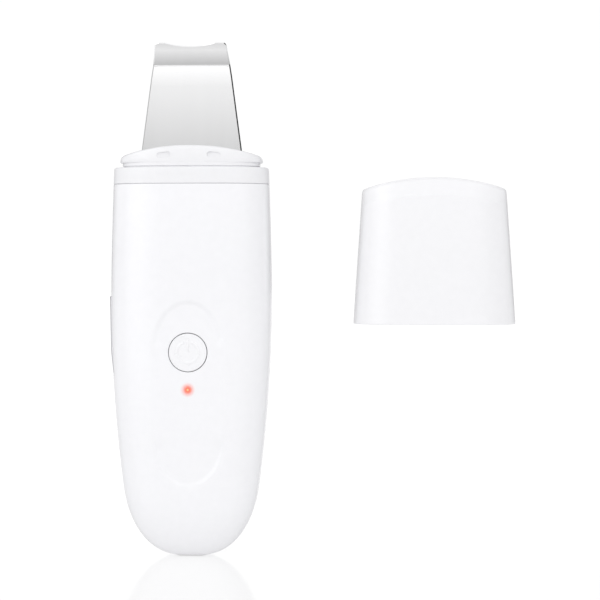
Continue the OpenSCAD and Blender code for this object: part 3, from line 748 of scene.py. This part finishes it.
def dome():
    """The neck cover: up its outside, over the crown, and down through the blade's slot."""
    foot = ((1.3, 0.45, COLLAR_TOP), (1.3, 0.45, COLLAR_TOP + 0.33),
            (0.8, 0.06, COLLAR_TOP + 0.48), (0.8, 0.06, LIP_Z), (0.2, 0.05, LIP_Z),
            (0, 0, LIP_Z + LIP_EDGE))
    rings = [level(oval(DOME_W - w, DOME_D - d), z) for w, d, z in foot]
    wall_top = arch(CROWN, CROWN_R, rings[-1][:, 0])
    edge = np.minimum(DOME_EDGE, (wall_top - LIP_Z - LIP_EDGE) * 0.7)
    for t in (0.5, 1.0):
        z = LIP_Z + LIP_EDGE + (wall_top - edge - LIP_Z - LIP_EDGE) * t
        rings.append(level(oval(DOME_W, DOME_D), z))
    for s, c in turned(ROUNDING):
        inset = DOME_EDGE * (1 - c)
        outline = oval(DOME_W - inset, DOME_D - inset)
        rings.append(level(outline, arch(CROWN, CROWN_R, outline[:, 0]) - edge * (1 - s)))
    crown_edge, slot = rings[-1][:, :2], blade_slot()
    for t in (0.15, 0.35, 0.55, 0.75, 0.9, 0.97, 1.0):
        outline = crown_edge * (1 - t) + slot * t
        rings.append(level(outline, arch(CROWN, CROWN_R, outline[:, 0])))
    rings[-1][:, 2] -= 0.15
    chamber = COLLAR_TOP + 4.6
    rings.append(level(slot, chamber))
    seat = (SPIGOT_W + 0.1, SPIGOT_D + 0.1)
    for w, d, z in ((18, BORE_D, chamber), (18, BORE_D, COLLAR_TOP + 1.8),
                    (*seat, COLLAR_TOP + 1.8), (*seat, COLLAR_TOP)):
        rings.append(level(oval(w, d), z))
    net = Net()
    net.rings(rings, loop=True)
    return net


def window_cutter(side_x, side_y):
    """Cuts a shallow window into the dome's wall, tilted to follow the crown."""
    half_long, half_high, sunk, tilt = 2.2, 0.9, 0.6, 6
    (s, c), = turned([tilt * side_x])
    outline = stadium(half_long, half_high, 8) @ np.array([[c, -s], [s, c]])
    net = Net()
    net.rings([[(side_x * WINDOW_X + x, side_y * y, WINDOW_Z + z) for x, z in outline]
               for y in (DOME_D - sunk, DOME_D + 2)], start="cap", end="cap")
    return raw_object("window_cutter", net)


piece("dome_skin", dome(), dome_white, "handle_body", ["neck_dome"],
      cutters=[window_cutter(sx, sy) for sx in (-1, 1) for sy in (-1, 1)])

# ---------------------------------------------------------------- blade
BLADE_EDGE = [0, 0.012, 0.16, 0.3, 0.42]     # steps in from the blade's edge over its bevel
BEVEL = BLADE_EDGE[-1]


def blade_half(z):
    upper = TIP_HALF + BLADE_SLOPE * (TIP_Z - z)
    lower = FOOT_HALF - max(0, FOOT_Z + 3 - z)
    t = min(max((z - SHOULDER + 2) / 2, 0), 1)
    shoulder_half = TIP_HALF + BLADE_SLOPE * (TIP_Z - SHOULDER)
    return upper if z > SHOULDER else lower * (1 - t) + shoulder_half * t


def tip_top(x):
    """The tip's outline: a hollow between two round corners."""
    dip_half, soft = 8, 0.12
    dip_r = (dip_half**2 + TIP_DIP**2) / (2 * TIP_DIP)
    dip = TIP_Z - TIP_DIP + dip_r - np.sqrt(np.maximum(dip_r**2 - x * x, 0))
    past = np.maximum(0, np.abs(x) - (TIP_HALF - TIP_CORNER))
    corner_z = TIP_Z - TIP_CORNER + np.sqrt(np.maximum(TIP_CORNER**2 - past**2, 0))
    return soft_min(corner_z, dip, soft)


def blade_rows():
    """Points of the blade's face in x and z, row by row; the top rows follow the tip."""
    n_mid, low = 48, 88.0
    heights = [FOOT_Z + e for e in BLADE_EDGE]
    for bottom, top, n in ((30.5, 56, 8), (57.5, 60, 6), (61, low, 28), (88.5, 95, 53),
                           (95.4, TIP_Z - 1.2, 10)):
        heights += list(np.linspace(bottom, top, n))
    for height, below in [(h, None) for h in heights] + [(TIP_Z, e) for e in BLADE_EDGE[::-1]]:
        half = blade_half(height)
        inner = half - BEVEL
        x = np.array([-half + e for e in BLADE_EDGE] + steps(-inner, inner, n_mid)[:-1]
                     + [half - e for e in reversed(BLADE_EDGE)])
        top = tip_top(x)
        if below is not None:
            z = top - below
        elif height > low:
            z = low + (height - low) / (TIP_Z - low) * (top - low)
        else:
            z = np.full(len(x), height)
        yield half, x, z, top


def blade():
    """Two bevelled faces that meet in the blade's edge and lean forward above the crease."""
    bend_r, tip_thinner = 0.1, 0.3
    net = Net()
    loops = []
    for side in (-1, 1):
        rows = []
        for half, x, z, top in blade_rows():
            gap = np.minimum(half - np.abs(x), np.minimum(top - z, z - FOOT_Z))
            body = np.where(gap > 1e-6, 0.25 + 0.75 * np.clip(gap / BEVEL, 0, 1), 0.0)
            lean = TIP_LEAN * bend_r * np.logaddexp(0, (z - CREASE) / bend_r)
            thick = BLADE_T - tip_thinner * np.clip((z - CREASE) / (TIP_RISE + 1), 0, 1)
            rows.append(np.column_stack([x, -lean + side * thick * body, z]))
        loops.append(net.sheet(rows))
    net.merge(loops[1], onto=loops[0])
    return net


piece("blade_skin", blade(), steel, "handle_body", ["blade"], sharp=20)

# ---------------------------------------------------------------- button
SYMBOL_R, STROKE, SYMBOL_UP = 3.38, 0.35, 0.13
SYMBOL_OPENING, SYMBOL_BAR = 27.0, (0.55, 3.55)


def symbol(x, z):
    """Height of the raised power symbol: an open ring and a bar."""
    angle = np.abs(np.degrees(np.arctan2(x, z)))
    (s, c), = turned([SYMBOL_OPENING])
    to_end = np.hypot(np.abs(x) - SYMBOL_R * s, z - SYMBOL_R * c)
    to_ring = np.where(angle < SYMBOL_OPENING, to_end, np.abs(np.hypot(x, z) - SYMBOL_R))
    to_bar = np.hypot(x, z - np.clip(z, *SYMBOL_BAR))
    return SYMBOL_UP * smooth((STROKE - np.minimum(to_ring, to_bar)) / 0.3 + 0.5)


def button():
    """A round button with a rounded edge and a flange behind the shell."""
    n, edge = 192, 0.15
    rings = []
    for r in list(np.arange(0.1, 4.2, 0.08)) + [4.5, 5.0, 5.5, 5.75, 5.85]:
        face = round_ring(r, BUTTON_FACE, n)
        face[:, 1] -= symbol(face[:, 0], face[:, 2])
        rings.append(face)
    for s, c in turned(range(10, 91, 16)):
        rings.append(round_ring(BUTTON_R - edge + edge * s, BUTTON_FACE + edge * (1 - c), n))
    for r, y in ((BUTTON_R, FLANGE_Y), (FLANGE_R - 0.1, FLANGE_Y), (FLANGE_R, FLANGE_Y + 0.1),
                 (FLANGE_R, FLANGE_Y + FLANGE_T)):
        rings.append(round_ring(r, y, n))
    net = Net()
    net.rings(rings, start="point", end="point")
    return net


piece("button_skin", button(), button_white, "button_body", ["power_button"])


# ---------------------------------------------------------------- status light
def status_light():
    """A domed lens on a light pipe, with a flange behind the shell."""
    face = -(float(depth(np.array(LED_Z))) - DISH_DEPTH)
    profile = [(0.15, face - 0.12), (0.45, face - 0.11), (0.75, face - 0.08),
               (0.95, face - 0.03), (1.06, face + 0.05), (LED_R, face + 0.16),
               (LED_R, -8.2), (1.9, -8.2), (1.9, -7.4), (LED_R, -7.4), (LED_R, -4.9)]
    net = Net()
    net.rings([round_ring(r, y, 48, LED_Z) for r, y in profile], start="point", end="cap")
    return net


piece("led_lens_skin", status_light(), led_red, "handle_body", ["led_lens"])


# ---------------------------------------------------------------- charging port
def usb_socket():
    """The socket's metal shell, open at its lower face."""
    shift = np.array([0, PORT_Y])
    outside, inside = stadium(4.47, 1.63), stadium(4.17, 1.3)
    net = Net()
    net.rings([level(outline + shift, z) for outline, z in (
        (outside, USB_TOP), (outside, USB_FACE + 0.05), (outside * 0.99, USB_FACE),
        (inside, USB_FACE), (inside, USB_TOP - 0.35))], start="cap", end="cap")
    return net


piece("usb_socket_skin", usb_socket(), screw_steel, "handle_body", ["usb_socket"])


# ---------------------------------------------------------------- cap
def cap_ring(t, inset, drop):
    """The cap's section at share t of its height; its top follows the crown."""
    past = max(0.0, t * CAP_H - (CAP_H - CAP_BEVEL_H)) / CAP_BEVEL_H
    w = CAP_W + (CAP_TOP_W - CAP_W) * t - inset
    d = CAP_D + (CAP_TOP_D - CAP_D) * t - CAP_BEVEL * past - inset
    p = oval(w, d, 48)
    z = CAP_Z + t * arch(CAP_H, CAP_CROWN_R, p[:, 0]) - drop
    return np.column_stack([p[:, 0] + CAP_X, p[:, 1], z])


def flattened(ring, shares):
    """Rings that lead from the cap's edge in to its middle line."""
    return [np.column_stack([ring[:, 0], ring[:, 1] * t, ring[:, 2]]) for t in shares]


def snap_rib(net, side):
    """A rib just inside the mouth, sunk into the wall and tapered at its free end."""
    wall_x = CAP_W - CAP_WALL
    net.rings([[(CAP_X + side * x, y * wide, CAP_Z + 0.9 + z * high)
                for y, z in stadium(3.0, 0.4, 8)]
               for x, wide, high in ((wall_x + 0.3, 1, 1), (wall_x - 1.3, 1, 1),
                                     (wall_x - 1.7, 0.94, 0.5))], start="cap", end="cap")


def cap():
    """A hollow cap: its outside from the crown to the mouth, then its inside back up."""
    heights = list(np.linspace(0.02, (CAP_H - CAP_BEVEL_H - 0.3) / CAP_H, 24))
    heights += [(CAP_H - CAP_BEVEL_H) / CAP_H, (CAP_H - CAP_BEVEL_H + 0.2) / CAP_H]
    heights += [(CAP_H - CAP_BEVEL_H * (1 - k / 10)) / CAP_H for k in range(1, 10)]
    outer = [cap_ring(0, CAP_RIM, 0), cap_ring(0, 0.12, -0.03), cap_ring(0, 0.03, -0.12),
             cap_ring(0, 0, -CAP_RIM)]
    outer += [cap_ring(t, 0, 0) for t in heights]
    outer += [cap_ring(1, CAP_EDGE * (1 - c), CAP_EDGE * (1 - s)) for s, c in turned(ROUNDING)]
    outer += flattened(outer[-1], (0.75, 0.5, 0.25, 0.08))
    inner = [cap_ring(0, CAP_WALL - 0.3, 0), cap_ring(0, CAP_WALL, -0.3)]
    inner += [cap_ring(t, CAP_WALL, CAP_WALL * t) for t in heights + [1]]
    inner += flattened(inner[-1], (0.7, 0.4, 0.08))
    net = Net()
    ids = net.rings(outer[::-1] + inner)
    net.close_arched(ids[0])
    net.close_arched(ids[-1])
    for side in (-1, 1):
        snap_rib(net, side)
    return net


piece("cap_skin", cap(), cap_white, "cap_body", ["cap"])

# ---------------------------------------------------------------- stage and light
scene = bpy.context.scene
FLOOR_HALF = 3000.0
net = Net()
net.faces.append(tuple(net.add([(-FLOOR_HALF, -FLOOR_HALF, 0), (FLOOR_HALF, -FLOOR_HALF, 0),
                                (FLOOR_HALF, FLOOR_HALF, 0), (-FLOOR_HALF, FLOOR_HALF, 0)])))
floor = raw_object("floor", net)
floor.location.z = CAD_BOX[0][2]
floor.data.materials.append(
    finish("pale_floor", (0.32, 0.32, 0.32), 0.14, vary=0.002, grain=40, bump=0.0,
           rough_vary=0.02, Emission_Color=(1, 1, 1, 1), Emission_Strength=0.5, IOR=1.6))

world = bpy.data.worlds.new("studio")
scene.world = world
world.use_nodes = True
studio = world.node_tree
studio.nodes.clear()


def ramp(value, low, high, at_low, at_high):
    made = add_node(studio, "MapRange", {"interpolation_type": "SMOOTHSTEP"}, Value=value,
                    From_Min=low, From_Max=high, To_Min=at_low, To_Max=at_high)
    return made.outputs["Result"]


def combine(kind, *values):
    """Folds several values into one with a maths operation."""
    total = values[0]
    for value in values[1:]:
        made = add_node(studio, "Math", {"operation": kind})
        plug(studio, made, {0: total, 1: value})
        total = made.outputs["Value"]
    return total


axes = add_node(studio, "SeparateXYZ",
                Vector=add_node(studio, "TexCoord").outputs["Generated"])
east, north, up = (axes.outputs[k] for k in "XYZ")
# What gloss sees: a white studio, dimmer to both sides beyond the object, below the horizon
# and overhead, with a dark card at the right, a brighter far left and a window at the front left
beyond = combine("MAXIMUM", ramp(north, -0.1, 0.35, 1.0, 0.3), ramp(north, 0.84, 0.9, 0.0, 1.0))
right_card = ramp(east, 0.35, 0.7, 1.0, 0.04)
left_edge = ramp(east, -0.97, -0.88, 1.35, 1.0)
by_height = combine("MULTIPLY", ramp(up, 0.045, 0.14, 0.64, 1.09), ramp(up, 0.3, 0.6, 1.0, 0.75))
window = combine("MULTIPLY", ramp(east, -0.8, -0.6, 0.0, 1.0), ramp(east, -0.5, -0.25, 1.0, 0.0),
                 ramp(north, -0.2, 0.1, 1.0, 0.0), 1.3)
gloss = combine("ADD", combine("MULTIPLY", beyond, right_card, by_height, left_edge), window)
# What lights the surfaces: a white room, brightest in front and darker behind and overhead
room = combine("ADD", ramp(north, -1.0, 1.0, 1.56, 0.6), ramp(up, 0.1, 1.0, 0.0, -0.4),
               ramp(east, -0.9, 0.9, -0.02, 0.06))
# What the camera sees behind the object is plain white
path = add_node(studio, "LightPath")
unseen = add_node(studio, "Mix", Factor=path.outputs["Is Glossy Ray"], A=room, B=gloss)
seen = add_node(studio, "Mix", Factor=path.outputs["Is Camera Ray"],
                A=unseen.outputs["Result"], B=1.02)
background = add_node(studio, "Background", Color=seen.outputs["Result"], Strength=1.0)
add_node(studio, "OutputWorld", Surface=background.outputs["Background"])


def softbox(name, place, target, width, height, watts):
    light = bpy.data.lights.new(name, "AREA")
    light.shape, light.size, light.size_y, light.energy = "RECTANGLE", width, height, watts
    obj = bpy.data.objects.new(name, light)
    scene.collection.objects.link(obj)
    obj.location = place
    obj.rotation_mode = "QUATERNION"
    obj.rotation_quaternion = (Vector(target) - Vector(place)).to_track_quat("-Z", "Y")


softbox("left_strip", (-0.75, -0.62, 0.12), (0.03, 0, 0.0), 0.2, 0.9, 0.35)

# ---------------------------------------------------------------- camera
VIEW_FROM, AIM_X = (0.055, -0.45, 0.031), 0.035
VIEW_W, VIEW_Z = 0.193, 0.0163     # width of the picture at y = 0 and the height of its middle
SENSOR = 36
camera_data = bpy.data.cameras.new("camera")
camera = bpy.data.objects.new("camera", camera_data)
scene.collection.objects.link(camera)
scene.camera = camera
camera.location = VIEW_FROM
camera.rotation_euler = (math.radians(90), 0, math.atan2(VIEW_FROM[0] - AIM_X, -VIEW_FROM[1]))
camera_data.sensor_width = SENSOR
camera_data.lens = SENSOR * -VIEW_FROM[1] / VIEW_W
camera_data.shift_y = (VIEW_Z - VIEW_FROM[2]) / VIEW_W
camera_data.clip_start = 0.01
scene.view_settings.view_transform = "Standard"
